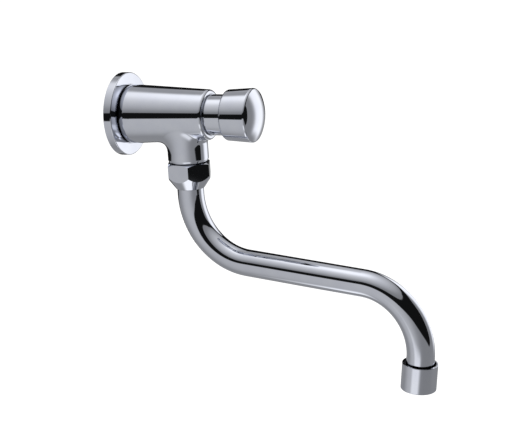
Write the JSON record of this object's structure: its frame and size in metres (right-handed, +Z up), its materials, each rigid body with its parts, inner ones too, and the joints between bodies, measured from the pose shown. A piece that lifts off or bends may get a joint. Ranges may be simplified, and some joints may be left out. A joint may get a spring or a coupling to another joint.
{
  "type": "wall-mounted faucet",
  "caption": "Self-closing wall tap: tapered barrel with a front push button, round wall flange and a swivelling S-shaped spout held by a hexagon union nut.",
  "frame": {"origin": "centre of the wall flange's back face, on the axis of the inlet spigot, where its G1/2 thread begins", "axes": "+Z up, -Y out of the wall towards the user, +Y along the inlet spigot into the wall; the spout is stored turned 8.7 degrees towards -X"},
  "size_m": [0.0693, 0.2503, 0.213],
  "materials": {
    "polished_chrome": "mirror-polished chrome plate",
    "turned_brass": "fine-turned, unplated",
    "stainless_steel": "drawn and turned",
    "black_rubber": "moulded, matt",
    "red_fibre": "pressed fibre",
    "white_plastic": "moulded acetal"
  },
  "bodies": {
    "valve_body": {"faucet_body": "polished_chrome", "wall_flange": "polished_chrome", "flange_gasket": "black_rubber", "inlet_strainer": "stainless_steel", "valve_seat": "turned_brass", "seat_gasket": "red_fibre", "cartridge_sleeve": "turned_brass", "sleeve_seal": "black_rubber", "bonnet": "polished_chrome", "bonnet_gasket": "red_fibre", "stem_seal": "black_rubber", "union_nut": "polished_chrome", "swivel_ring": "white_plastic"},
    "plunger": {"push_button": "polished_chrome", "button_lock_nut": "stainless_steel", "return_spring": "stainless_steel", "valve_stem": "stainless_steel", "timing_piston": "white_plastic", "lip_seal": "black_rubber", "piston_clip": "stainless_steel", "washer_holder": "turned_brass", "seat_washer": "black_rubber", "washer_nut": "stainless_steel"},
    "spout": {"spout_collar": "turned_brass", "spout_o_rings": "black_rubber", "spout_tube": "polished_chrome", "outlet_nozzle": "polished_chrome", "aerator_housing": "polished_chrome", "aerator_seal": "black_rubber", "aerator_insert": "white_plastic", "aerator_screen": "stainless_steel", "stream_grid": "white_plastic"}
  },
  "joints": [
    {"name": "button_push", "type": "slide", "parent": "valve_body", "child": "plunger", "axis": [0, 1, 0], "range_m": [0, 0.008], "stiffness_N_per_m": 1200, "springref_m": -0.0125, "deforming": ["return_spring"]},
    {"name": "spout_swivel", "type": "hinge", "parent": "valve_body", "child": "spout", "pos_m": [0, -0.0505, -0.045], "axis": [0, 0, 1], "range_deg": [-91.3, 108.7]}
  ]
}
